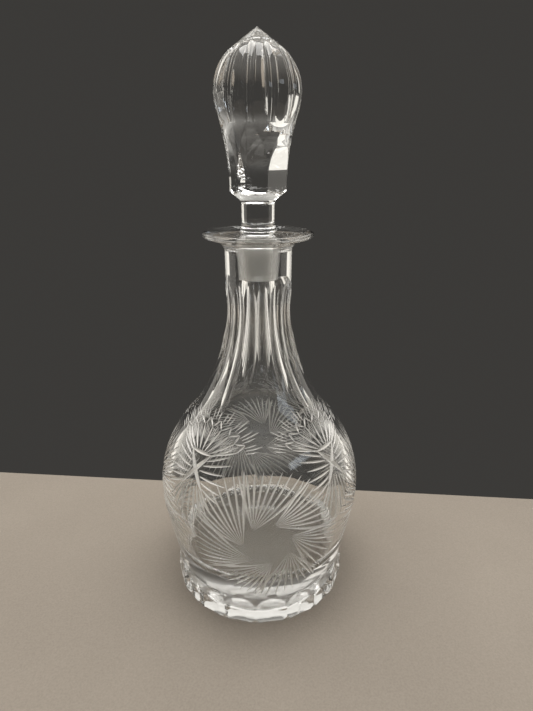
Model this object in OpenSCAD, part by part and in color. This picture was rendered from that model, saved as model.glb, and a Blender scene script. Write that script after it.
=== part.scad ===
// Cut crystal decanter with a lift-off ground stopper.
// Millimetres, +Z up. The origin is the centre of the foot, on the surface it stands on.

/* [Foot] */
// Widest diameter of the foot
foot_d = 114.4; // [106:0.2:124]
// Height of the foot, up to the crease under the body
foot_h = 19; // [15:0.5:24]
// Height of the widest line of the foot
foot_belly_z = 6; // [4:0.5:11]
// Radius of the rounded side of the foot
foot_side_r = 40; // [26:1:60]
// Diameter of the crease between foot and body
waist_d = 111.6; // [104:0.2:120]
// Number of scallops cut round the foot
scallops = 18; // [12:1:24]
// Turn of the scallops about the decanter's axis
scallop_turn = -2; // [-10:0.5:10]
// Radius of the round cutter that makes the foot scallops
scallop_cutter_r = 110; // [80:5:300]
// Depth of a foot scallop at its middle
scallop_depth = 1.8; // [1.2:0.1:2.6]
// Height of the middle of a foot scallop
scallop_z = 12; // [8:0.5:14]
// Diameter of the hollow ground under the foot
punt_d = 78; // [40:1:96]
// Depth of the hollow ground under the foot
punt_depth = 2.5; // [1:0.1:5]

/* [Body] */
// Widest diameter of the body
body_d = 128.6; // [112:0.2:156]
// Height of the widest line of the body
body_z = 70; // [58:1:86]
// Radius of the round side below the widest line
belly_r = 60; // [40:1:64]
// Radius of the shoulder above the widest line
shoulder_r = 71.3; // [68:0.1:84]
// Thickness of the glass in the body
body_wall = 6; // [3:0.1:8]
// Height of the inside floor
floor_z = 27; // [24:0.5:36]
// Radius of the inside corner round the floor
floor_corner_r = 14; // [6:0.5:20]

/* [Neck] */
// Diameter of the plain collar at the top of the neck
neck_d = 38.4; // [34:0.2:46]
// Distance from the lip down to where the sweep of the shoulder becomes the straight neck
neck_drop = 41; // [33:1:55]
// Diameter of the bore at the bottom of the ground mouth, where it is narrowest
bore_d = 14.6; // [12:0.1:18]
// Number of flutes cut round the neck
neck_flutes = 16; // [12:1:16]
// Radius of the rounded edge of the wheel that cuts the neck flutes
neck_flute_edge_r = 6; // [5:0.1:9]
// Depth of a neck flute at the middle of its length
neck_flute_depth = 2.4; // [0.8:0.1:3]
// Distance from the lip down to the upper end of the neck flutes
neck_flute_drop = 27; // [21:1:35]
// Height of the shortest neck flutes
neck_flute_short = 50; // [44:1:58]
// Height of the longest neck flutes
neck_flute_long = 74; // [60:1:80]
// Number of groups of short and long flutes round the neck
flute_groups = 4; // [1:1:4]
// Turn of the neck flutes about the decanter's axis
flute_turn = -2.5; // [-11:0.5:11]
// Turn of the groups of short and long neck flutes
group_turn = 5; // [-45:1:45]

/* [Lip] */
// Diameter of the lip
lip_d = 62.8; // [54:0.2:76]
// Height of the top of the lip
lip_z = 231; // [226:0.5:240]
// Thickness of the rounded edge of the lip
lip_edge = 3.2; // [2:0.1:5]
// Distance from the lip down to where the trumpet under it leaves the neck
lip_root_drop = 11; // [10:0.5:18]
// Radius of the hollow where the trumpet leaves the neck
lip_root_r = 6; // [3:0.5:8]
// How far the top of the lip dips towards the mouth
lip_dish = 1.4; // [0:0.1:2]
// Radius of the rounded edge of the mouth
mouth_round = 2.6; // [1:0.1:3.5]

/* [Ground joint] */
// Length of the ground taper
ground_len = 22.5; // [16:0.5:26]
// Length of the taper over which its diameter changes by one unit
ground_ratio = 10; // [8:1:20]
// Clearance between plug and mouth, measured on the radius
ground_gap = 0.05; // [0.03:0.01:0.1]
// Radius of the rounded lower edge of the plug
plug_round = 1.2; // [0.4:0.1:2]

/* [Stopper] */
// Height of the tip above the bulb's widest line
crown_h = 29; // [26:0.5:40]
// Widest diameter of the bulb
bulb_d = 45.8; // [42:0.2:55]
// Height of the bulb's widest line above the lip
bulb_rise = 70; // [62:0.5:74]
// Radius of the bulb above its widest line
bulb_top_r = 24.5; // [22:0.5:26]
// Radius of the bulb below its widest line
bulb_low_r = 30; // [28:0.5:38]
// Diameter of the round blank that the shank is cut from
shank_d = 31.8; // [28:0.2:38]
// Height of the bottom edge of the shank above the lip
shank_rise = 21.5; // [18:0.5:24]
// Height of the narrowest part of the shank above its bottom edge
shank_waist_rise = 3.5; // [1:0.5:7]
// Distance across the flats of the six-sided shank
shank_flats = 27.4; // [25:0.2:30]
// Radius of the wheel that cuts the six flats
shank_wheel_r = 70; // [60:1:100]
// Diameter of the thin neck of the stopper
stem_d = 18.4; // [15:0.2:20]
// Radius of the hollow at the top of the thin neck
stem_hollow_r = 3.5; // [1:0.5:5]
// How far the bead stands out beyond the thin neck or the ground taper, whichever is wider
bead_proud = 1; // [0.5:0.1:2]
// Radius of the bead's rounded edge
bead_edge_r = 1.6; // [1.2:0.1:2]
// Length over which the thin neck swells into the bead
bead_sweep = 5; // [3:0.5:8]
// Number of flutes cut in the bulb
bulb_flutes = 12; // [8:1:14]
// Depth of a bulb flute at the middle of its length
bulb_flute_depth = 1.4; // [0.4:0.1:2]
// Radius of the rounded edge of the wheel that cuts the bulb flutes
bulb_flute_edge_r = 6; // [3:0.1:8]
// Distance from the bulb's widest line down to the lower end of the flutes
bulb_flute_low_drop = 15; // [12:0.5:18]
// Distance from the tip down to the upper end of the bulb flutes
bulb_flute_drop = 5; // [3:0.5:8]
// Angle that the cut stopper is turned about its own axis
stopper_turn = 20; // [0:1:60]

/* [Hidden] */
$fn = 96;

// Degrees between the points of a round stretch
arc_step = 5;
// How far a cutter reaches beyond the glass, so that no faces coincide
spare = 1;
// Clear height between the rounded mouth and the bead above it
bead_clear = 0.3;
// Direction of the front of the decanter
front = -90;
// Sides of the stopper's shank
shank_sides = 6;

foot_r = foot_d / 2;
body_r = body_d / 2;
neck_r = neck_d / 2;
bore_r = bore_d / 2;
rim_r = lip_edge / 2;
bulb_r = bulb_d / 2;
shank_r = shank_d / 2;
stem_r = stem_d / 2;

// The ground taper starts below the rounded edge of the mouth.
ground_z = lip_z - lip_dish - mouth_round;
ground_end_z = ground_z - ground_len;
ground_r = bore_r + ground_len / (2 * ground_ratio);
bead_r = max(stem_r, ground_r) + bead_proud;

// Heights on the neck
neck_z = lip_z - neck_drop;
neck_flute_top_z = lip_z - neck_flute_drop;

// Heights on the seated stopper
bulb_z = lip_z + bulb_rise;
tip_z = bulb_z + crown_h;
shank_z = lip_z + shank_rise;
shank_waist_z = shank_z + shank_waist_rise;
bulb_flute_low_z = bulb_z - bulb_flute_low_drop;
bulb_flute_top_z = tip_z - bulb_flute_drop;
// The bead rests above the rounded mouth.
bead_z = ground_z + mouth_round + bead_edge_r + bead_clear;

// Centres of the round stretches, as distance from the axis and height
waist = [waist_d / 2, foot_h];
foot_c = [foot_r - foot_side_r, foot_belly_z];
belly_c = [body_r - belly_r, body_z];
shoulder_c = [body_r - shoulder_r, body_z];
lip_root_c = [neck_r + lip_root_r, lip_z - lip_root_drop];
rim_c = [lip_d / 2 - rim_r, lip_z - rim_r];
mouth_c = [ground_r + mouth_round, ground_z];
bead_c = [bead_r - bead_edge_r, bead_z];
stem_c = [stem_r + stem_hollow_r, shank_z - 2 * stem_hollow_r];
bulb_low_c = [bulb_r - bulb_low_r, bulb_z];
bulb_top_c = [bulb_r - bulb_top_r, bulb_z];
tip = [0, tip_z];

function direction(from, to) = atan2(to[1] - from[1], to[0] - from[0]);
function on_circle(c, r, a) = c + r * [cos(a), sin(a)];
function reversed(p) = [for (i = [len(p) - 1 : -1 : 0]) p[i]];

// Points of an arc about centre c, from angle a0 to angle a1, both ends included
function arc(c, r, a0, a1) =
    let (n = max(1, ceil(abs(a1 - a0) / arc_step)))
    [for (i = [0 : n]) on_circle(c, r, a0 + (a1 - a0) * i / n)];

// Angle on a circle at which a straight line from point p touches it.
// side is 1 or -1 and picks one of the two touching points.
function touch(c, r, p, side) = direction(c, p) + side * acos(r / norm(p - c));

// Radius of the hollow sweep that touches a round shoulder (centre c, radius r)
// and ends upright at the point p
function sweep_r(c, r, p) =
    let (x = p[0] - c[0], z = p[1] - c[1]) (x ^ 2 + z ^ 2 - r ^ 2) / (2 * (r - x));

// Outline that leaves a widest line along a round shoulder (centre c, radius r)
// and goes through a hollow sweep to end upright at the point p
function shoulder_sweep(c, r, p) =
    let (sweep = sweep_r(c, r, p),
         c2 = p + [sweep, 0],
         a = direction(c, c2),
         turn = p[1] > c[1] ? 180 : -180)
    concat(arc(c, r, 0, a), arc(c2, sweep, a + turn, turn));

// Distance from the axis to the outside of the neck, its sweep and the shoulder, before cutting
function neck_surface(z) =
    let (sweep = sweep_r(shoulder_c, shoulder_r, [neck_r, neck_z]),
         meet = shoulder_r * sin(direction(shoulder_c, [neck_r + sweep, neck_z])))
    z >= neck_z ? neck_r :
    z >= body_z + meet ? neck_r + sweep - sqrt(sweep ^ 2 - (neck_z - z) ^ 2) :
    shoulder_c[0] + sqrt(shoulder_r ^ 2 - (z - body_z) ^ 2);

// Distance from the axis to the outside of the bulb, before cutting
function bulb_surface(z) =
    z > bulb_z ? bulb_top_c[0] + sqrt(bulb_top_r ^ 2 - (z - bulb_z) ^ 2)
               : bulb_low_c[0] + sqrt(bulb_low_r ^ 2 - (z - bulb_z) ^ 2);

// Distance from the axis to the straight flank under the tip
function flank_surface(z) =
    let (t = on_circle(bulb_top_c, bulb_top_r, touch(bulb_top_c, bulb_top_r, tip, -1)))
    t[0] * (tip_z - z) / (tip_z - t[1]);

// Centre of the circle through three points
function circle_centre(a, b, c) =
    let (u = b - a, v = c - a, k = 2 * (u[0] * v[1] - u[1] * v[0]))
    a + [v[1] * (u * u) - u[1] * (v * v), u[0] * (v * v) - v[0] * (u * u)] / k;

// The straight flank above the foot ends at the widest line at the latest.
flank_turn = min(0, touch(belly_c, belly_r, waist, 1));

// Outside of the decanter, from the edge of the foot up to the mouth's ground taper
lip_turn = direction(lip_root_c, rim_c) + acos((lip_root_r + rim_r) / norm(rim_c - lip_root_c));
outside = concat(
    arc(foot_c, foot_side_r, asin(-foot_belly_z / foot_side_r),
        asin((foot_h - spare - foot_belly_z) / foot_side_r)),
    [waist],
    arc(belly_c, belly_r, flank_turn, 0),
    shoulder_sweep(shoulder_c, shoulder_r, [neck_r, neck_z]),
    arc(lip_root_c, lip_root_r, 180, lip_turn),
    arc(rim_c, rim_r, lip_turn - 180, 90),
    arc(mouth_c, mouth_round, 90, 180));

// Inside of the decanter, from the bottom of the ground taper down to the axis
wall_end = on_circle(belly_c, belly_r - body_wall - floor_corner_r, flank_turn);
floor_c = [wall_end[0] + (wall_end[1] - floor_z - floor_corner_r) * tan(flank_turn),
           floor_z + floor_corner_r];
inside = concat(
    reversed(shoulder_sweep(shoulder_c, shoulder_r - body_wall, [bore_r, ground_end_z])),
    arc(belly_c, belly_r - body_wall, 0, flank_turn),
    arc(floor_c, floor_corner_r, flank_turn, -90),
    [[0, floor_z]]);

// Outside of the stopper, from the middle of the plug's end up to the tip
plug_slope = atan(1 / (2 * ground_ratio));
plug_end_c = [bore_r - ground_gap - plug_round, ground_end_z + plug_round];
stopper_outline = concat(
    [[0, ground_end_z]],
    arc(plug_end_c, plug_round, -90, -plug_slope),
    [[ground_r - ground_gap, ground_z], [ground_r - ground_gap, ground_z + mouth_round]],
    arc(bead_c, bead_edge_r, -90, 0),
    shoulder_sweep(bead_c, bead_edge_r, [stem_r, bead_z + bead_sweep]),
    arc(stem_c, stem_hollow_r, 180, touch(stem_c, stem_hollow_r, [shank_r, shank_z], 1)),
    [[shank_r, shank_z]],
    reversed(shoulder_sweep(bulb_low_c, bulb_low_r, [shank_r, shank_waist_z])),
    arc(bulb_top_c, bulb_top_r, 0, touch(bulb_top_c, bulb_top_r, tip, -1)),
    [tip]);

// Wheel with a rounded edge that leaves a flute. The flute's bottom runs through
// the points top, middle and low, each given as distance from the axis and height.
// bulge is 1 on the round bulb, where the wheel's path bends inwards and so is stopped
// at both ends, and -1 on the hollow neck, where its path runs out of the glass.
module flute_cutter(top, middle, low, edge_r, bulge) {
    c = circle_centre(top, middle, low);
    bottom_r = norm(middle - c);
    reach = 4 * edge_r;
    over = bulge > 0 ? 0 : edge_r;
    intersection() {
        translate([c[0], 0, c[1]]) rotate([90, 0, 0])
            rotate_extrude() translate([bottom_r + bulge * edge_r, 0]) circle(r = edge_r);
        translate([0, -edge_r - spare, low[1] - over])
            cube([low[0] + top[0] + reach, 2 * (edge_r + spare), top[1] - low[1] + 2 * over]);
    }
}

// One neck flute, cut from the collar down to the height low_z
module neck_flute(low_z) {
    middle_z = (neck_flute_top_z + low_z) / 2;
    flute_cutter([neck_r, neck_flute_top_z],
                 [neck_surface(middle_z) - neck_flute_depth, middle_z],
                 [neck_surface(low_z), low_z], neck_flute_edge_r, -1);
}

// The flutes end higher at the middle of each group than between the groups.
module neck_fluting() {
    for (i = [0 : neck_flutes - 1]) {
        a = flute_turn + 360 * (i + 0.5) / neck_flutes;
        low = (1 - cos((a - group_turn) * flute_groups)) / 2;
        length = neck_flute_short + (neck_flute_long - neck_flute_short) * low;
        rotate(front + a) neck_flute(neck_flute_top_z - length);
    }
}

// Round cutters that stop at the crease above the foot
module foot_scallops() {
    bottom_r = foot_r - scallop_depth;
    inner = bottom_r - spare;
    half = foot_r * sin(180 / scallops) + spare;
    for (i = [0 : scallops - 1])
        rotate(front + scallop_turn + 360 * (i + 0.5) / scallops)
            intersection() {
                translate([bottom_r + scallop_cutter_r, 0, scallop_z])
                    sphere(r = scallop_cutter_r);
                translate([inner, -half, -spare])
                    cube([foot_r + spare - inner, 2 * half, foot_h + spare]);
            }
}

module punt() {
    r = ((punt_d / 2) ^ 2 + punt_depth ^ 2) / (2 * punt_depth);
    translate([0, 0, punt_depth - r]) sphere(r = r);
}

module decanter_body() {
    color([0.86, 0.9, 0.9, 0.5])
    difference() {
        rotate_extrude() polygon(concat([[0, 0]], outside, inside));
        neck_fluting();
        foot_scallops();
        punt();
    }
}

module bulb_fluting() {
    middle_z = (bulb_flute_low_z + bulb_flute_top_z) / 2;
    for (i = [0 : bulb_flutes - 1])
        rotate(360 * i / bulb_flutes)
            flute_cutter([flank_surface(bulb_flute_top_z), bulb_flute_top_z],
                         [bulb_surface(middle_z) - bulb_flute_depth, middle_z],
                         [bulb_surface(bulb_flute_low_z), bulb_flute_low_z],
                         bulb_flute_edge_r, 1);
}

// Wheels that cut the flats of the shank and run out under the bulb
module shank_flats_cut() {
    half = shank_r / cos(180 / shank_sides) * sin(180 / shank_sides);
    for (i = [0 : shank_sides - 1])
        rotate(360 * (i + 0.5) / shank_sides)
            intersection() {
                translate([shank_flats / 2 + shank_wheel_r, half, shank_waist_z])
                    rotate([90, 0, 0]) cylinder(r = shank_wheel_r, h = 2 * half);
                translate([0, -half - spare, stem_c[1]])
                    cube([bulb_r + spare, 2 * (half + spare), bulb_z - stem_c[1]]);
            }
}

module stopper() {
    color([0.9, 0.93, 0.93, 0.6])
    rotate(front + stopper_turn)
    difference() {
        rotate_extrude() polygon(stopper_outline);
        shank_flats_cut();
        bulb_fluting();
    }
}

decanter_body();
stopper();
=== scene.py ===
"""Cut crystal decanter with its stopper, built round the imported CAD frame.

All lengths are metres. MM turns a maker's millimetres into metres.
"""

import math

import bmesh
import bpy
import numpy as np
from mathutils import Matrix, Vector


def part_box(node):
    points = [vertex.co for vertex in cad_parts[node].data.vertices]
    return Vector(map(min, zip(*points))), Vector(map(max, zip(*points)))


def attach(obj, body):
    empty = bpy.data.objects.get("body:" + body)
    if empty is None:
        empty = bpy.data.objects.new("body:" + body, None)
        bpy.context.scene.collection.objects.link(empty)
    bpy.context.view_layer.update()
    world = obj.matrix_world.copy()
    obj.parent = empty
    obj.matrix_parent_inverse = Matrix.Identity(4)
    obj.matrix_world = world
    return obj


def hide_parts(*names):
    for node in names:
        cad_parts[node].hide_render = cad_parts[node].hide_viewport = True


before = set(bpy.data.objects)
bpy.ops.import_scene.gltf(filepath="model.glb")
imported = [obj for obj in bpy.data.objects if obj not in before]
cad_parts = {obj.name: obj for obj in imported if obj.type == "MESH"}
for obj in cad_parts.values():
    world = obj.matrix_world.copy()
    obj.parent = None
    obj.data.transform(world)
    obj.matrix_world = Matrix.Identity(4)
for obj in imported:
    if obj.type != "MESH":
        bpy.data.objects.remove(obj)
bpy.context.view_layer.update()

MM = 0.001

# ---------------------------------------------------------------- sizes of the glass

BODY_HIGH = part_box("decanter_body")[1]
STOPPER_LOW, STOPPER_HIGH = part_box("stopper")

FOOT_R = 57.2 * MM
FOOT_H = 19 * MM
FOOT_BELLY_Z = 6 * MM
FOOT_SIDE_R = 40 * MM
WAIST_R = 55.8 * MM
CREASE_H = 1 * MM
PUNT_R = 39 * MM
PUNT_DEPTH = 2.5 * MM
SCALLOPS = 18
SCALLOP_TURN = -2
SCALLOP_CUTTER_R = 110 * MM
SCALLOP_DEPTH = 1.8 * MM
SCALLOP_Z = 12 * MM

BODY_R = BODY_HIGH.x
BODY_Z = 70 * MM
BELLY_R = 60 * MM
SHOULDER_R = 71.3 * MM
BODY_WALL = 6 * MM
FLOOR_Z = 27 * MM
FLOOR_CORNER_R = 14 * MM

NECK_R = 19.2 * MM
NECK_Z = 190 * MM
BORE_R = 7.3 * MM
NECK_FLUTE_EDGE_R = 6 * MM
NECK_FLUTE_DEPTH = 2.4 * MM
NECK_FLUTE_TOP_Z = 204 * MM
NECK_FLUTE_SHORT = 50 * MM
NECK_FLUTE_LONG = 74 * MM

LIP_R = 31.4 * MM
LIP_Z = BODY_HIGH.z
LIP_EDGE_R = 1.6 * MM
LIP_ROOT_Z = 220 * MM
LIP_ROOT_R = 6 * MM
LIP_DISH = 1.4 * MM
MOUTH_ROUND = 2.6 * MM

GROUND_END_Z = STOPPER_LOW.z
GROUND_RATIO = 10
GROUND_GAP = 0.05 * MM
PLUG_ROUND = 1.2 * MM

TIP_Z = STOPPER_HIGH.z
BULB_R = 22.9 * MM
BULB_Z = LIP_Z + 70 * MM
BULB_TOP_R = 24.5 * MM
BULB_LOW_R = 30 * MM
SHANK_R = 15.9 * MM
SHANK_Z = LIP_Z + 21.5 * MM
SHANK_WAIST_Z = LIP_Z + 25 * MM
SHANK_FLATS = 27.4 * MM
SHANK_WHEEL_R = 70 * MM
STEM_R = 9.2 * MM
STEM_HOLLOW_R = 3.5 * MM
BEAD_R = 10.2 * MM
BEAD_EDGE_R = 1.6 * MM
BEAD_SWEEP = 5 * MM
BEAD_GAP = 0.3 * MM
BULB_FLUTE_DEPTH = 1.4 * MM
BULB_FLUTE_EDGE_R = 6 * MM
BULB_FLUTE_LOW_Z = LIP_Z + 55 * MM
BULB_FLUTE_TOP_Z = TIP_Z - 5 * MM
STOPPER_TURN = 20

GROUPS = 4
FLUTES = 16
SHANK_SIDES = 6
BULB_FLUTES = 12
FLUTE_TURN = -2.5
PINWHEEL_TURN = 5

# Number of flat strips round a turned surface
ROUND = 192
# Longest step along a round stretch of an outline, and along a straight one
STEP = 1.8 * MM
STRAIGHT_STEP = 4 * MM
# Largest angle between two points of an arc
BEND_STEP = math.radians(6)
# Points of an outline that are closer than this are one point, and so are points of the body's side
SAME_POINT = 0.01 * MM
SAME_RUN = 1e-7
# Edges shorter than this are closed up
TINY_EDGE = 1e-6
# Sharpest bend between two faces that still shades as one smooth surface
SMOOTH_ANGLE = math.radians(14)
# How far a cutting shape reaches past the glass: below or beside it, and outside it
SPARE = 1 * MM
OUTSIDE = 3 * MM

POLISHED, CUT, GROUND, WORN = 0, 1, 2, 3

# ---------------------------------------------------------------- outlines: distance from axis, height


def vec(x, z):
    return np.array([x, z], float)


def direction(start, end):
    return math.atan2(end[1] - start[1], end[0] - start[0])


def distance(start, end):
    return math.hypot(end[0] - start[0], end[1] - start[1])


def on_circle(centre, radius, angle):
    return vec(centre[0] + radius * math.cos(angle), centre[1] + radius * math.sin(angle))


def arc(centre, radius, start, end):
    """Points of an arc between two angles in radians, both ends included."""
    bend = abs(end - start)
    count = max(2, math.ceil(bend * radius / STEP), math.ceil(bend / BEND_STEP))
    return [on_circle(centre, radius, start + (end - start) * i / count) for i in range(count + 1)]


def line(start, end):
    count = max(1, math.ceil(distance(start, end) / STRAIGHT_STEP))
    start, end = np.array(start), np.array(end)
    return [vec(*(start + (end - start) * i / count)) for i in range(count + 1)]


def touch(centre, radius, point, side):
    """Angle on a circle at which a straight line from a point touches it."""
    return direction(centre, point) + side * math.acos(radius / distance(centre, point))


def shoulder_sweep(centre, radius, end):
    """From a widest line along a round shoulder and through a hollow sweep, to end upright."""
    x, z = end[0] - centre[0], end[1] - centre[1]
    sweep = (x * x + z * z - radius * radius) / (2 * (radius - x))
    far = vec(end[0] + sweep, end[1])
    angle = direction(centre, far)
    turn = math.pi if z > 0 else -math.pi
    return arc(centre, radius, 0, angle) + arc(far, sweep, angle + turn, turn)


def circle_centre(a, b, c):
    """Centre of the circle through three points."""
    u, v = b - a, c - a
    k = 2 * (u[0] * v[1] - u[1] * v[0])
    return a + vec(v[1] * (u @ u) - u[1] * (v @ v), u[0] * (v @ v) - v[0] * (u @ u)) / k


WAIST = vec(WAIST_R, FOOT_H)
FOOT_C = vec(FOOT_R - FOOT_SIDE_R, FOOT_BELLY_Z)
BELLY_C = vec(BODY_R - BELLY_R, BODY_Z)
SHOULDER_C = vec(BODY_R - SHOULDER_R, BODY_Z)
LIP_ROOT_C = vec(NECK_R + LIP_ROOT_R, LIP_ROOT_Z)
RIM_C = vec(LIP_R - LIP_EDGE_R, LIP_Z - LIP_EDGE_R)
GROUND_Z = LIP_Z - LIP_DISH - MOUTH_ROUND
GROUND_R = BORE_R + (GROUND_Z - GROUND_END_Z) / (2 * GROUND_RATIO)
MOUTH_C = vec(GROUND_R + MOUTH_ROUND, GROUND_Z)
BEAD_C = vec(BEAD_R - BEAD_EDGE_R, GROUND_Z + MOUTH_ROUND + BEAD_EDGE_R + BEAD_GAP)
STEM_C = vec(STEM_R + STEM_HOLLOW_R, SHANK_Z - 2 * STEM_HOLLOW_R)
BULB_LOW_C = vec(BULB_R - BULB_LOW_R, BULB_Z)
BULB_TOP_C = vec(BULB_R - BULB_TOP_R, BULB_Z)
TIP = vec(0, TIP_Z)

# Where the straight flank above the foot runs into the belly
BELLY_TURN = touch(BELLY_C, BELLY_R, WAIST, 1)

BODY_SIDE = (
    line(WAIST, on_circle(BELLY_C, BELLY_R, BELLY_TURN))
    + arc(BELLY_C, BELLY_R, BELLY_TURN, 0)
    + shoulder_sweep(SHOULDER_C, SHOULDER_R, vec(NECK_R, NECK_Z))
    + line(vec(NECK_R, NECK_Z), vec(NECK_R, LIP_ROOT_Z))
)


def decanter_outline():
    """Stretches of the decanter's outline with their finishes, from under the foot to the inside floor."""
    punt_r = (PUNT_R**2 + PUNT_DEPTH**2) / (2 * PUNT_DEPTH)
    punt_c = vec(0, PUNT_DEPTH - punt_r)
    foot_low = math.asin(-FOOT_BELLY_Z / FOOT_SIDE_R)
    foot_top = math.asin((FOOT_H - CREASE_H - FOOT_BELLY_Z) / FOOT_SIDE_R)
    lip_bend = math.acos((LIP_ROOT_R + LIP_EDGE_R) / distance(LIP_ROOT_C, RIM_C))
    lip_turn = direction(LIP_ROOT_C, RIM_C) + lip_bend
    corner_high = on_circle(BELLY_C, BELLY_R - BODY_WALL - FLOOR_CORNER_R, BELLY_TURN)
    drop = corner_high[1] - FLOOR_Z - FLOOR_CORNER_R
    floor_c = vec(corner_high[0] + drop * math.tan(BELLY_TURN), FLOOR_Z + FLOOR_CORNER_R)
    inner_belly = arc(BELLY_C, BELLY_R - BODY_WALL, 0, BELLY_TURN)
    inner_corner = arc(floor_c, FLOOR_CORNER_R, BELLY_TURN, -math.pi / 2)
    inner_sweep = shoulder_sweep(SHOULDER_C, SHOULDER_R - BODY_WALL, vec(BORE_R, GROUND_END_Z))[::-1]
    punt = arc(punt_c, punt_r, math.pi / 2, math.acos(PUNT_R / punt_r))
    rest = line(vec(PUNT_R, 0), on_circle(FOOT_C, FOOT_SIDE_R, foot_low))
    outer = (
        arc(FOOT_C, FOOT_SIDE_R, foot_low, foot_top)
        + BODY_SIDE
        + arc(LIP_ROOT_C, LIP_ROOT_R, math.pi, lip_turn)
        + arc(RIM_C, LIP_EDGE_R, lip_turn - math.pi, math.pi / 2)
        + line(vec(RIM_C[0], LIP_Z), vec(MOUTH_C[0], LIP_Z - LIP_DISH))
        + arc(MOUTH_C, MOUTH_ROUND, math.pi / 2, math.pi)
    )
    taper = line(vec(GROUND_R, GROUND_Z), vec(BORE_R, GROUND_END_Z))
    floor = line(inner_corner[-1], vec(0, FLOOR_Z))
    inner_flank = line(inner_belly[-1], inner_corner[0])
    inner = inner_sweep + inner_belly + inner_flank + inner_corner + floor
    return [(punt, WORN), (rest, POLISHED), (outer, POLISHED), (taper, GROUND), (inner, POLISHED)]


def stopper_outline():
    """Stretches of the stopper's outline with their finishes, from under the plug to the tip."""
    slope = math.atan(1 / (2 * GROUND_RATIO))
    end_c = vec(BORE_R - GROUND_GAP - PLUG_ROUND, GROUND_END_Z + PLUG_ROUND)
    plug_r = GROUND_R - GROUND_GAP
    shank = vec(SHANK_R, SHANK_Z)
    end = line(vec(0, GROUND_END_Z), vec(end_c[0], GROUND_END_Z))
    end += arc(end_c, PLUG_ROUND, -math.pi / 2, -slope)
    taper = line(end[-1], vec(plug_r, GROUND_Z))
    above = (
        line(vec(plug_r, GROUND_Z), vec(plug_r, GROUND_Z + MOUTH_ROUND))
        + arc(BEAD_C, BEAD_EDGE_R, -math.pi / 2, 0)
        + shoulder_sweep(BEAD_C, BEAD_EDGE_R, vec(STEM_R, BEAD_C[1] + BEAD_SWEEP))
        + arc(STEM_C, STEM_HOLLOW_R, math.pi, touch(STEM_C, STEM_HOLLOW_R, shank, 1))
        + [shank]
        + shoulder_sweep(BULB_LOW_C, BULB_LOW_R, vec(SHANK_R, SHANK_WAIST_Z))[::-1]
        + arc(BULB_TOP_C, BULB_TOP_R, 0, touch(BULB_TOP_C, BULB_TOP_R, TIP, -1))
    )
    flank = line(above[-1], TIP)
    return [(end, POLISHED), (taper, GROUND), (above + flank, POLISHED)]


# ---------------------------------------------------------------- meshes


def new_piece(name, points, faces, finishes=None):
    mesh = bpy.data.meshes.new(name)
    mesh.from_pydata([tuple(p) for p in points], [], faces)
    if finishes is not None:
        for material in FINISHES:
            mesh.materials.append(material)
        mesh.polygons.foreach_set("material_index", finishes)
    piece = bpy.data.objects.new(name, mesh)
    bpy.context.scene.collection.objects.link(piece)
    return piece


def turned(name, stretches):
    """A solid of revolution whose outline starts and ends on the axis."""
    outline, bands = [], []
    for points, finish in stretches:
        for p in points:
            if outline and distance(outline[-1], p) < SAME_POINT:
                continue
            if outline:
                bands.append(finish)
            outline.append(p)
    angles = [2 * math.pi * i / ROUND for i in range(ROUND)]
    points = [(0, 0, outline[0][1])]
    for r, z in outline[1:-1]:
        points += [(r * math.cos(a), r * math.sin(a), z) for a in angles]
    points.append((0, 0, outline[-1][1]))
    last = len(points) - 1
    faces, finishes = [], []
    for k, finish in enumerate(bands):
        low, high = 1 + (k - 1) * ROUND, 1 + k * ROUND
        for i in range(ROUND):
            j = (i + 1) % ROUND
            if k == 0:
                faces.append((0, high + j, high + i))
            elif k == len(bands) - 1:
                faces.append((last, low + i, low + j))
            else:
                faces.append((low + i, low + j, high + j, high + i))
            finishes.append(finish)
    return new_piece(name, points, faces, finishes)


def tube(sections):
    """Closed strip through equal rings of points: points and faces, with the two ends capped."""
    size = len(sections[0])
    points = [p for ring in sections for p in ring]
    faces = [tuple(range(size))[::-1], tuple(range(len(points) - size, len(points)))]
    for k in range(len(sections) - 1):
        for i in range(size):
            j = (i + 1) % size
            faces.append((k * size + i, k * size + j, (k + 1) * size + j, (k + 1) * size + i))
    return points, faces


def cutter(shapes, finish):
    """One cutting object from several closed shapes that don't meet each other."""
    points, faces = [], []
    for shape_points, shape_faces in shapes:
        start = len(points)
        points += shape_points
        faces += [tuple(start + i for i in face) for face in shape_faces]
    piece = new_piece("cutter", points, faces, [finish] * len(faces))
    shape = bmesh.new()
    shape.from_mesh(piece.data)
    bmesh.ops.recalc_face_normals(shape, faces=shape.faces)
    shape.to_mesh(piece.data)
    shape.free()
    return piece


def cut(piece, shapes, finish):
    """Takes the shapes out of a piece of glass."""
    tool = cutter(shapes, finish)
    step = piece.modifiers.new("cut", "BOOLEAN")
    step.operation = "DIFFERENCE"
    step.solver = "MANIFOLD"
    step.material_mode = "INDEX"
    step.object = tool
    bpy.context.view_layer.update()
    before = piece.data
    result = piece.evaluated_get(bpy.context.evaluated_depsgraph_get())
    piece.data = bpy.data.meshes.new_from_object(result)
    piece.modifiers.clear()
    bpy.data.meshes.remove(before)
    tool_mesh = tool.data
    bpy.data.objects.remove(tool)
    bpy.data.meshes.remove(tool_mesh)


def turn_about_axis(points, degrees):
    a = math.radians(degrees)
    c, s = math.cos(a), math.sin(a)
    return [(x * c - y * s, x * s + y * c, z) for x, y, z in points]


def facing(shape, degrees):
    """A shape made on the +X side, turned to face degrees round from the front (-Y), rightwards."""
    points, faces = shape
    return turn_about_axis(points, degrees - 90), faces


# ---------------------------------------------------------------- cutting wheels

# Steps along and round the edge of a flute wheel
FLUTE_STATIONS, FLUTE_SIDES = 64, 48
# A hollow flute's wheel runs past both its ends by this share of its sweep
FLUTE_OVERRUN = 0.12
SCALLOP_ROWS, SCALLOP_COLUMNS = 16, 12
FLAT_ROWS = 40
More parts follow.
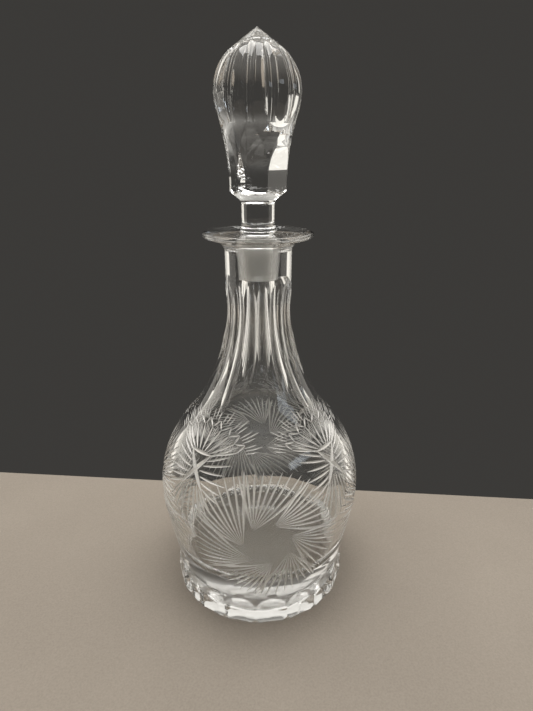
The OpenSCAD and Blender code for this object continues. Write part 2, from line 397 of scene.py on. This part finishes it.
# Thickness of the slab that cuts a flat of the shank
FLAT_SLAB = 18 * MM


def flute_wheel(top, middle, low, edge_r, bulge):
    """A round-edged wheel whose edge leaves a flute through three points of the outline plane."""
    centre = circle_centre(top, middle, low)
    bottom_r = distance(centre, middle)
    rail_r = bottom_r + bulge * edge_r
    start, end = direction(centre, low), direction(centre, top)
    if bulge < 0:
        start, end = start % (2 * math.pi), end % (2 * math.pi)
    over = FLUTE_OVERRUN * (end - start) if bulge < 0 else 0
    sections = []
    for i in range(FLUTE_STATIONS + 1):
        a = start - over + (end - start + 2 * over) * i / FLUTE_STATIONS
        ring = []
        for j in range(FLUTE_SIDES):
            b = 2 * math.pi * j / FLUTE_SIDES
            r = rail_r + edge_r * math.cos(b)
            ring.append((centre[0] + r * math.cos(a), edge_r * math.sin(b), centre[1] + r * math.sin(a)))
        sections.append(ring)
    return tube(sections)


def hollow_block(bottom_r, hollow_r, middle_z, low_z, high_z, half_width):
    """A block outside the glass whose inner side is part of a large ball that reaches in to bottom_r."""
    outer = FOOT_R + OUTSIDE
    sections = []
    for i in range(SCALLOP_ROWS + 1):
        z = low_z + (high_z - low_z) * i / SCALLOP_ROWS
        ring = []
        for j in range(SCALLOP_COLUMNS + 1):
            y = half_width * (2 * j / SCALLOP_COLUMNS - 1)
            x = bottom_r + hollow_r - math.sqrt(hollow_r**2 - y * y - (z - middle_z) ** 2)
            ring.append((x, y, z))
        sections.append(ring + [(outer, half_width, z), (outer, -half_width, z)])
    return tube(sections)


def flat_wheel(flat_r, wheel_r, middle_z, low_z, high_z, half_width):
    """A broad wheel that leaves a flat with a hollow run-out, as a slab outside the glass."""
    outer = flat_r + FLAT_SLAB
    sections = []
    for i in range(FLAT_ROWS + 1):
        z = low_z + (high_z - low_z) * i / FLAT_ROWS
        r = flat_r + wheel_r - math.sqrt(wheel_r**2 - (z - middle_z) ** 2)
        corners = [(r, -half_width), (r, half_width), (outer, half_width), (outer, -half_width)]
        sections.append([(x, y, z) for x, y in corners])
    return tube(sections)


# ---------------------------------------------------------------- cuts laid on the body's side

# Half the stretch of the side over which its slope is taken
SLOPE_REACH = 1.5 * MM
# A mitre cut: how far its two ends stay out of the glass, how far the cutting shape stands out of it,
# how full its depth is towards the ends (less is fuller) and how many steps it takes
MITRE_END_LIFT = 0.08 * MM
MITRE_RISE = 0.7 * MM
MITRE_FULLNESS = 0.8
MITRE_STATIONS = 14
MITRE_HALF_ANGLE = 50


class Side:
    """The outside of the body, measured along its own curve."""

    def __init__(self, outline):
        pts = np.array(outline)
        steps = np.hypot(*np.diff(pts, axis=0).T)
        keep = np.concatenate([[True], steps > SAME_RUN])
        pts = pts[keep]
        run = np.concatenate([[0], np.cumsum(np.hypot(*np.diff(pts, axis=0).T))])
        self.run, self.r, self.z = run, pts[:, 0], pts[:, 1]

    def run_at(self, z):
        return float(np.interp(z, self.z, self.run))

    def point(self, degrees, run):
        r, z = np.interp(run, self.run, self.r), np.interp(run, self.run, self.z)
        a = math.radians(degrees - 90)
        return Vector((r * math.cos(a), r * math.sin(a), z))

    def normal(self, degrees, run):
        ends = (run - SLOPE_REACH, run + SLOPE_REACH)
        dr = np.diff(np.interp(ends, self.run, self.r))[0]
        dz = np.diff(np.interp(ends, self.run, self.z))[0]
        a = math.radians(degrees - 90)
        return Vector((dz * math.cos(a), dz * math.sin(a), -dr)).normalized()

    def place(self, centre, across, up):
        """Degrees and run of the point this far across and up from a centre (degrees, run)."""
        run = centre[1] + up
        r = float(np.interp(run, self.run, self.r))
        return centre[0] + math.degrees(across / r), run


SIDE = Side(BODY_SIDE)


def mitre(centre, start, end, depth, peak, half_angle=MITRE_HALF_ANGLE, stations=MITRE_STATIONS):
    """A V-shaped wheel cut from start to end (across, up), deepest at peak of its length."""
    power = math.log(0.5) / math.log(peak)
    slope = math.tan(math.radians(half_angle))
    marks = []
    for i in range(stations + 1):
        u = i / stations
        across, up = start + (end - start) * u
        at = SIDE.place(centre, across, up)
        deep = -MITRE_END_LIFT
        if 0 < i < stations:
            deep = depth * math.sin(math.pi * u**power) ** MITRE_FULLNESS
        marks.append((SIDE.point(*at), SIDE.normal(*at), deep))
    sections = []
    for i, (p, n, deep) in enumerate(marks):
        ahead = marks[min(i + 1, stations)][0] - marks[max(i - 1, 0)][0]
        side = n.cross(ahead).normalized()
        half = (deep + MITRE_RISE) * slope
        top = p + n * MITRE_RISE
        sections.append([tuple(p - n * deep), tuple(top + side * half), tuple(top - side * half)])
    return tube(sections)


def polar(angle, length):
    """Across and up of a point at this angle (degrees, 0 to the right, 90 up)."""
    a = math.radians(angle)
    return vec(length * math.cos(a), length * math.sin(a))


def reach(start, angle, limit):
    """How far a line from start runs before it leaves a circle of this radius about the centre."""
    d = polar(angle, 1)
    b = start @ d
    return -b + math.sqrt(max(b * b - start @ start + limit * limit, 0))


PINWHEEL_Z = 65 * MM
PINWHEEL_R = 48 * MM
HUB_R = 14 * MM
VANES = 7
NEEDLES = 9
# Angle between the first and the last needle of a vane, and from the hub's spoke to the first
VANE_SPREAD = 66
VANE_LEAN = -92
# Needles come in three lengths, each this share of the pinwheel's radius shorter than the last
NEEDLE_LENGTHS = 3
NEEDLE_SHORTER = 0.05
NEEDLE_DEPTH = 0.55 * MM
EDGE_NEEDLE_DEPTH = 0.8 * MM


def spots(turn, z):
    """One centre in each quarter of the side, as degrees and run along the outline."""
    return [(PINWHEEL_TURN + turn + 360 * g / GROUPS, SIDE.run_at(z)) for g in range(GROUPS)]


def vane_needle(v, j):
    """Needle j of vane v, from its point on the hub towards the rim of the pinwheel."""
    hub = 180 - 360 * v / VANES
    start = polar(hub, HUB_R)
    angle = hub + VANE_LEAN + VANE_SPREAD * j / (NEEDLES - 1)
    shorter = NEEDLE_SHORTER * ((3 * j + v) % NEEDLE_LENGTHS)
    end = start + polar(angle, reach(start, angle, PINWHEEL_R * (1 - shorter)))
    deep = EDGE_NEEDLE_DEPTH if j in (0, NEEDLES - 1) else NEEDLE_DEPTH
    return lambda centre: mitre(centre, start, end, deep, peak=0.62)


# Middle of the crossed motif between two pinwheels, and how far its arms reach across and up
MOTIF_Z = 103 * MM
ARM_ACROSS = 7.5 * MM
ARM_UP = 10 * MM
FAN_LENGTH = 21 * MM
FAN_PETALS = 8
# Angle from upright to the outermost line of the upper fan, and the share of the bar it stands on
FAN_HALF_SPREAD = 72
FAN_FOOT = 0.85
FAN_STATIONS = 10
# How far the crossed arms run below and above the middle, and the bar to each side
ARM_LOW, ARM_HIGH, BAR_REACH = 1.2, 1.1, 1.15
# The fans beside the cross and under it: values for the middle needle, and how much they change to
# the outermost one, in millimetres, degrees or shares of the arms
SIDE_NEEDLES = 7
SIDE_INSET, SIDE_INSET_CHANGE = 2.5, 4.5
SIDE_ANGLE, SIDE_SWING = 4, 30
SIDE_LENGTH, SIDE_SHORTER, SIDE_STAGGER = 20, 3, 2
SIDE_REACH = 0.9
LOW_NEEDLES = SIDE_NEEDLES + 2
LOW_START, LOW_START_CHANGE = 0.55, 0.5
LOW_SWING = 38
LOW_LENGTH, LOW_SHORTER = 30, 12
LOW_DEPTH = 0.6 * MM


def fan_point(j, length):
    """The point this far up line j of the upper fan, which starts on the bar."""
    share = 2 * j / FAN_PETALS - 1
    return vec(ARM_ACROSS * FAN_FOOT * share, ARM_UP) + polar(90 - FAN_HALF_SPREAD * share, length)


def fan_cut(j, low, high, deep, end_j=None):
    """Cut along a line of the fan, or across to another, between two shares of its length.

    Its depth is in millimetres.
    """
    start = fan_point(j, FAN_LENGTH * low)
    end = fan_point(j if end_j is None else end_j, FAN_LENGTH * high)
    return lambda centre: mitre(centre, start, end, deep * MM, peak=0.55, stations=FAN_STATIONS)


def fan_triple(j, apart, low, high, shorter, deep):
    """Three cuts side by side about line j of the fan, the outer two shorter at the top."""
    return [fan_cut(j + k * apart, low, high - shorter * abs(k), deep) for k in (-1, 0, 1)]


def bar(start, end, deep):
    """A bold straight cut, this many millimetres deep."""
    return lambda centre: mitre(centre, start, end, deep * MM, peak=0.5, half_angle=48)


def side_needle(j, side):
    """Needle j of the fan beside the cross, from the lowest to the highest."""
    share = 2 * j / (SIDE_NEEDLES - 1) - 1
    inset = SIDE_INSET + SIDE_INSET_CHANGE * abs(share)
    start = vec(side * inset * MM, ARM_UP * SIDE_REACH * share)
    length = (SIDE_LENGTH - SIDE_SHORTER * abs(share) - SIDE_STAGGER * (j % 2)) * MM
    end = start + vec(side, 1) * polar(SIDE_ANGLE + SIDE_SWING * share, length)
    return lambda centre: mitre(centre, start, end, NEEDLE_DEPTH, peak=0.45)


def low_needle(j):
    """Needle j of the fan under the cross, from left to right."""
    share = 2 * j / (LOW_NEEDLES - 1) - 1
    start = vec(ARM_ACROSS * share, -ARM_UP * (LOW_START + LOW_START_CHANGE * abs(share)))
    length = (LOW_LENGTH - LOW_SHORTER * abs(share)) * MM
    end = start + polar(-90 + LOW_SWING * share, length)
    return lambda centre: mitre(centre, start, end, LOW_DEPTH, peak=0.4)


def cut_pinwheels(piece):
    needles = [vane_needle(v, j) for v in range(VANES) for j in range(NEEDLES)]
    cut_pattern(piece, spots(0, PINWHEEL_Z), needles, NEEDLES)


def motif_bars():
    """The two crossed arms and the bold bar over them."""
    arm, mirrored, up = vec(ARM_ACROSS, ARM_UP), vec(-ARM_ACROSS, ARM_UP), vec(0, ARM_UP)
    along = vec(ARM_ACROSS * BAR_REACH, 0)
    return [
        bar(-ARM_LOW * arm, ARM_HIGH * arm, deep=1.3),
        bar(-ARM_LOW * mirrored, ARM_HIGH * mirrored, deep=1.3),
        bar(up - along, up + along, deep=1.0),
    ]


def cut_motifs(piece):
    petals, joints, sides = range(FAN_PETALS), range(FAN_PETALS + 1), (-1, 1)
    rays = [fan_cut(j, low=0, high=0.82, deep=0.6) for j in joints]
    roofs = [fan_cut(j + k, low=0.76, high=1, deep=0.45, end_j=j + 0.5) for j in petals for k in (0, 1)]
    tips = [fan_triple(j, apart=0.26, low=0.92, high=1.42, shorter=0.14, deep=0.32) for j in joints]
    veins = [fan_triple(j + 0.5, apart=0.2, low=0.35, high=0.88, shorter=0.08, deep=0.2) for j in petals]
    beside = [side_needle(j, side) for side in sides for j in range(SIDE_NEEDLES)]
    under = [low_needle(j) for j in range(LOW_NEEDLES)]
    centres = spots(180 / GROUPS, MOTIF_Z)
    for makers, passes in (
        (rays, 2), (roofs, 2), (sum(tips, []), 3), (sum(veins, []), 3), (beside, 2), (under, 2),
        (motif_bars(), 3),
    ):
        cut_pattern(piece, centres, makers, passes)


def neck_surface(z):
    return float(np.interp(z, SIDE.z, SIDE.r))


def neck_flute(index):
    turn = FLUTE_TURN + 360 * (index + 0.5) / FLUTES
    low = (1 - math.cos(math.radians(turn - PINWHEEL_TURN) * GROUPS)) / 2
    low_z = NECK_FLUTE_TOP_Z - NECK_FLUTE_SHORT - (NECK_FLUTE_LONG - NECK_FLUTE_SHORT) * low
    middle_z = (NECK_FLUTE_TOP_Z + low_z) / 2
    top = vec(NECK_R, NECK_FLUTE_TOP_Z)
    middle = vec(neck_surface(middle_z) - NECK_FLUTE_DEPTH, middle_z)
    bottom = vec(neck_surface(low_z), low_z)
    return facing(flute_wheel(top, middle, bottom, NECK_FLUTE_EDGE_R, -1), turn)


def bulb_radius(z):
    centre, radius = (BULB_TOP_C, BULB_TOP_R) if z > BULB_Z else (BULB_LOW_C, BULB_LOW_R)
    return centre[0] + math.sqrt(radius**2 - (z - BULB_Z) ** 2)


def bulb_flute(index):
    flank_start = on_circle(BULB_TOP_C, BULB_TOP_R, touch(BULB_TOP_C, BULB_TOP_R, TIP, -1))
    flank = flank_start[0] * (TIP_Z - BULB_FLUTE_TOP_Z) / (TIP_Z - flank_start[1])
    middle_z = (BULB_FLUTE_LOW_Z + BULB_FLUTE_TOP_Z) / 2
    top = vec(flank, BULB_FLUTE_TOP_Z)
    middle = vec(bulb_radius(middle_z) - BULB_FLUTE_DEPTH, middle_z)
    bottom = vec(bulb_radius(BULB_FLUTE_LOW_Z), BULB_FLUTE_LOW_Z)
    wheel = flute_wheel(top, middle, bottom, BULB_FLUTE_EDGE_R, 1)
    return facing(wheel, STOPPER_TURN + 360 * index / BULB_FLUTES)


def shank_flat(index):
    half = SHANK_R * math.tan(math.pi / SHANK_SIDES)
    wheel = flat_wheel(SHANK_FLATS / 2, SHANK_WHEEL_R, SHANK_WAIST_Z, STEM_C[1], BULB_Z, half)
    return facing(wheel, STOPPER_TURN + 360 * (index + 0.5) / SHANK_SIDES)


def foot_scallop(index):
    half = FOOT_R * math.sin(math.pi / SCALLOPS) + SPARE
    wheel = hollow_block(FOOT_R - SCALLOP_DEPTH, SCALLOP_CUTTER_R, SCALLOP_Z, -SPARE, FOOT_H, half)
    return facing(wheel, SCALLOP_TURN + 360 * (index + 0.5) / SCALLOPS)


def crease(piece):
    """Smooth shading inside each cut and each turned stretch, with crisp edges between them."""
    mesh = piece.data
    shape = bmesh.new()
    shape.from_mesh(mesh)
    bmesh.ops.dissolve_degenerate(shape, edges=shape.edges, dist=TINY_EDGE)
    for face in shape.faces:
        face.smooth = True
    for edge in shape.edges:
        if len(edge.link_faces) == 2:
            edge.smooth = edge.calc_face_angle(0) < SMOOTH_ANGLE
    shape.to_mesh(mesh)
    shape.free()


# The blown side is where a corner lies on the turned surface, clear of the foot and the lip, and its
# face looks the same way as that surface to this cosine
EDGE_CLEAR = 0.3 * MM
ON_SIDE = 0.03 * MM
SAME_WAY = 0.98


def true_normals(piece):
    """Between its cuts, the side shades as the turned surface it was blown as."""
    mesh = piece.data
    corners = np.empty(len(mesh.loops), int)
    mesh.loops.foreach_get("vertex_index", corners)
    points = np.empty(3 * len(mesh.vertices))
    mesh.vertices.foreach_get("co", points)
    sizes = np.empty(len(mesh.polygons), int)
    mesh.polygons.foreach_get("loop_total", sizes)
    flat = np.empty(3 * len(mesh.polygons))
    mesh.polygons.foreach_get("normal", flat)
    flat = np.repeat(flat.reshape(-1, 3), sizes, axis=0)
    x, y, z = points.reshape(-1, 3)[corners].T
    r = np.hypot(x, y)
    run = np.interp(z, SIDE.z, SIDE.run)
    dr = np.interp(run, SIDE.run, np.gradient(SIDE.r, SIDE.run))
    dz = np.interp(run, SIDE.run, np.gradient(SIDE.z, SIDE.run))
    true = np.stack([dz * x / np.maximum(r, MM), dz * y / np.maximum(r, MM), -dr], axis=1)
    true /= np.linalg.norm(true, axis=1, keepdims=True)
    blown = (z > FOOT_H + EDGE_CLEAR) & (z < LIP_ROOT_Z - EDGE_CLEAR)
    blown &= abs(r - np.interp(z, SIDE.z, SIDE.r)) < ON_SIDE
    blown &= (true * flat).sum(axis=1) > SAME_WAY
    mesh.normals_split_custom_set(np.where(blown[:, None], true, 0))


def cut_round(piece, make, count):
    """Polished cuts round the axis: every other one, then the rest, so that none of one pass meet."""
    for start in (0, 1):
        cut(piece, [make(i) for i in range(start, count, 2)], POLISHED)


def cut_pattern(piece, centres, makers, passes):
    """Matt cuts of one kind about each centre, in so many passes that none of one pass meet."""
    for start in range(passes):
        cut(piece, [make(centre) for make in makers[start::passes] for centre in centres], CUT)


def make_decanter():
    piece = turned("decanter_body_glass", decanter_outline())
    cut_round(piece, neck_flute, FLUTES)
    cut_round(piece, foot_scallop, SCALLOPS)
    cut_pinwheels(piece)
    cut_motifs(piece)
    crease(piece)
    true_normals(piece)
    return piece


def make_stopper():
    piece = turned("stopper_glass", stopper_outline())
    cut_round(piece, shank_flat, SHANK_SIDES)
    cut_round(piece, bulb_flute, BULB_FLUTES)
    crease(piece)
    return piece


# ---------------------------------------------------------------- shader maths


class Wire:
    """A socket in a recipe: a sum on it adds the Math nodes that work it out."""

    def __init__(self, recipe, socket):
        self.recipe = recipe
        self.socket = socket

    def math(self, operation, other):
        return self.recipe.node("ShaderNodeMath", {"operation": operation}, {0: self, 1: other})

    def __add__(self, other):
        return self.math("ADD", other)

    __radd__ = __add__

    def __mul__(self, other):
        return self.math("MULTIPLY", other)

    __rmul__ = __mul__

    def __sub__(self, other):
        return self.math("SUBTRACT", other)

    def __rsub__(self, other):
        return (self * -1) + other

    def __pow__(self, other):
        return self.math("POWER", other)


# Sockets of a Mix node that mixes two colours
FIRST_COLOUR, SECOND_COLOUR, MIXED_COLOUR = 6, 7, 2


class Recipe:
    """The node tree of one finish, or of the room."""

    def __init__(self, tree):
        self.tree = tree

    def node(self, kind, settings=None, inputs=None, output=0):
        """Adds a node: its settings first, then the values or links of its sockets."""
        made = self.tree.nodes.new(kind)
        for name, value in (settings or {}).items():
            setattr(made, name, value)
        for key, value in (inputs or {}).items():
            if isinstance(value, Wire):
                self.tree.links.new(value.socket, made.inputs[key])
            else:
                made.inputs[key].default_value = value
        return Wire(self, made.outputs[output]) if made.outputs else None

    def noise(self, place, scale, detail):
        inputs = {"Vector": place, "Scale": scale, "Detail": detail}
        return self.node("ShaderNodeTexNoise", {"noise_dimensions": "3D"}, inputs)

    def bump(self, height, strength, distance):
        inputs = {"Strength": strength, "Distance": distance, "Height": height}
        return self.node("ShaderNodeBump", None, inputs)

    def mix(self, factor, first, second):
        inputs = {"Factor": factor, FIRST_COLOUR: (*first, 1), SECOND_COLOUR: (*second, 1)}
        return self.node("ShaderNodeMix", {"data_type": "RGBA"}, inputs, MIXED_COLOUR)

    def finish(self, **sockets):
        """The surface itself, with the sockets of its shader by name."""
        inputs = {name.replace("_", " "): value for name, value in sockets.items()}
        shader = self.node("ShaderNodeBsdfPrincipled", None, inputs)
        self.node("ShaderNodeOutputMaterial", None, {"Surface": shader})


# How strongly the glass bends light
GLASS_IOR = 1.54


def new_material(name):
    """An empty material, its recipe and the place on the piece."""
    material = bpy.data.materials.new(name)
    material.use_nodes = True
    material.node_tree.nodes.clear()
    recipe = Recipe(material.node_tree)
    return material, recipe, recipe.node("ShaderNodeTexCoord", output="Object")


def crystal(name, tint, rough, wave, haze, clear=1.0):
    """Clear lead crystal: faint waves from blowing and polishing, and a light haze of wear."""
    material, recipe, place = new_material(name)
    slow = recipe.noise(place, scale=55.0, detail=2.0)
    fine = recipe.noise(place, scale=900.0, detail=4.0)
    recipe.finish(
        Base_Color=(*tint, 1),
        Roughness=rough + haze * (fine**3),
        IOR=GLASS_IOR,
        Transmission_Weight=clear,
        Normal=recipe.bump(slow, strength=1.0, distance=wave),
    )
    return material


def matt_cut():
    """The walls of the mitre cuts, which the polishing left slightly matt."""
    material, recipe, place = new_material("matt_mitre_cut")
    grain = recipe.noise(place, scale=1400.0, detail=3.0)
    recipe.finish(
        Base_Color=(0.97, 0.955, 0.925, 1),
        Roughness=0.14 + 0.2 * grain,
        IOR=GLASS_IOR,
        Transmission_Weight=0.5,
        Normal=recipe.bump(grain, strength=0.5, distance=0.00003),
    )
    return material


def ground_glass():
    """Fine-ground glass of the plug and the mouth."""
    material, recipe, place = new_material("ground_glass")
    grain = recipe.noise(place, scale=2600.0, detail=5.0)
    recipe.finish(
        Base_Color=(0.93, 0.93, 0.91, 1),
        Roughness=0.42 + 0.2 * grain,
        IOR=GLASS_IOR,
        Transmission_Weight=0.72,
        Normal=recipe.bump(grain, strength=0.6, distance=0.00005),
    )
    return material


CLOTH_DARK = (0.19, 0.163, 0.135)
CLOTH_PALE = (0.35, 0.307, 0.26)


def table_cloth():
    """Pale matt felt that the decanter stands on."""
    material, recipe, place = new_material("table_cloth")
    grain = recipe.noise(place, scale=900.0, detail=3.0)
    tone = recipe.noise(place, scale=9.0, detail=2.0)
    recipe.finish(
        Base_Color=recipe.mix(grain * 0.6 + tone * 0.4, CLOTH_DARK, CLOTH_PALE),
        Roughness=0.9,
        Normal=recipe.bump(grain, strength=0.4, distance=0.0004),
    )
    return material


# ---------------------------------------------------------------- the object

FINISHES = [
    crystal("polished_crystal", (0.985, 0.99, 0.985), 0.0, 0.00012, 0.03),
    matt_cut(),
    ground_glass(),
    crystal("worn_underside", (0.98, 0.96, 0.92), 0.05, 0.00004, 0.4, 0.8),
]
decanter = make_decanter()
stopper = make_stopper()
for piece, body in ((decanter, "decanter_body"), (stopper, "stopper")):
    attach(piece, body)
    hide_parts(body)

# ---------------------------------------------------------------- table, light and camera

TABLE_HALF = 0.9
# Where the table ends behind the decanter, and how much that edge slants
TABLE_BACK = 0.0866
TABLE_SLANT = -0.085
# The nap of the cloth holds the foot this far above it
TABLE_NAP = 0.0003


def make_table():
    half = TABLE_HALF
    left, right = TABLE_BACK - TABLE_SLANT * half, TABLE_BACK + TABLE_SLANT * half
    outline = [(-half, -half), (half, -half), (half, right), (-half, left)]
    table = new_piece("table", [(x, y, -TABLE_NAP) for x, y in outline], [(0, 1, 2, 3)])
    table.data.materials.append(table_cloth())


CREAM_LIGHT = (1.0, 0.96, 0.88)
SOFT_WHITE = (1.0, 0.98, 0.95)
DAYLIGHT = (0.84, 0.92, 1.0)
WARM_LIGHT = (1.0, 0.95, 0.86)
# Every softbox points at the middle of the decanter
AIM = (0, 0, 0.15)


def softbox(name, place, width, height, strength, colour):
    light = bpy.data.lights.new(name, "AREA")
    light.shape = "RECTANGLE"
    light.size, light.size_y = width, height
    light.energy = strength * width * height * math.pi
    light.color = colour
    lamp = bpy.data.objects.new(name, light)
    lamp.location = place
    lamp.rotation_euler = (Vector(AIM) - Vector(place)).to_track_quat("-Z", "Y").to_euler()
    lamp.visible_camera = False
    bpy.context.scene.collection.objects.link(lamp)


# The room is dark to the sides and pale overhead, and gets paler between these two heights
ROOM_DARK = (0.045, 0.043, 0.040)
ROOM_PALE = (1.0, 0.97, 0.91)
ROOM_RISE = (0.3, 0.85)


def make_light():
    world = bpy.data.worlds.new("studio")
    bpy.context.scene.world = world
    world.use_nodes = True
    recipe = Recipe(world.node_tree)
    place = recipe.node("ShaderNodeTexCoord", output="Generated")
    height = recipe.node("ShaderNodeSeparateXYZ", None, {"Vector": place}, "Z")
    limits = {"Value": height, "From Min": ROOM_RISE[0], "From Max": ROOM_RISE[1]}
    rise = recipe.node("ShaderNodeMapRange", {"interpolation_type": "SMOOTHSTEP"}, limits)
    colour = recipe.mix(rise, ROOM_DARK, ROOM_PALE)
    world.node_tree.links.new(colour.socket, world.node_tree.nodes["Background"].inputs["Color"])
    softbox("curtain_side", (-0.95, 1.05, 0.75), width=0.6, height=0.6, strength=0.9, colour=CREAM_LIGHT)
    softbox("overhead", (0.0, 0.1, 1.5), width=1.2, height=0.9, strength=5.0, colour=SOFT_WHITE)
    softbox("window", (0.735, -0.48, 0.56), width=0.5, height=0.12, strength=2.0, colour=DAYLIGHT)
    for side in (-1, 1):
        softbox("low_side", (side * 0.7, 0.22, 0.0), width=0.7, height=0.7, strength=1.0, colour=WARM_LIGHT)


CAMERA_DISTANCE = 0.2932
CAMERA_HEIGHT = 0.2683
CAMERA_PITCH = 20.97
CAMERA_ASIDE = 0.0047
FOCAL_SHARE = 510 / 711


def make_camera():
    camera = bpy.data.cameras.new("camera")
    camera.sensor_width = 36
    camera.lens = camera.sensor_width * FOCAL_SHARE
    camera.clip_start, camera.clip_end = 0.01, 20
    holder = bpy.data.objects.new("camera", camera)
    holder.location = (CAMERA_ASIDE, -CAMERA_DISTANCE, CAMERA_HEIGHT)
    holder.rotation_euler = (math.radians(90 - CAMERA_PITCH), 0, 0)
    bpy.context.scene.collection.objects.link(holder)
    bpy.context.scene.camera = holder


make_table()
make_light()
make_camera()
bpy.context.scene.view_settings.view_transform = "Standard"
cycles = bpy.context.scene.cycles
cycles.max_bounces = 24
cycles.transmission_bounces = 24
cycles.glossy_bounces = 12
cycles.sample_clamp_indirect = 6
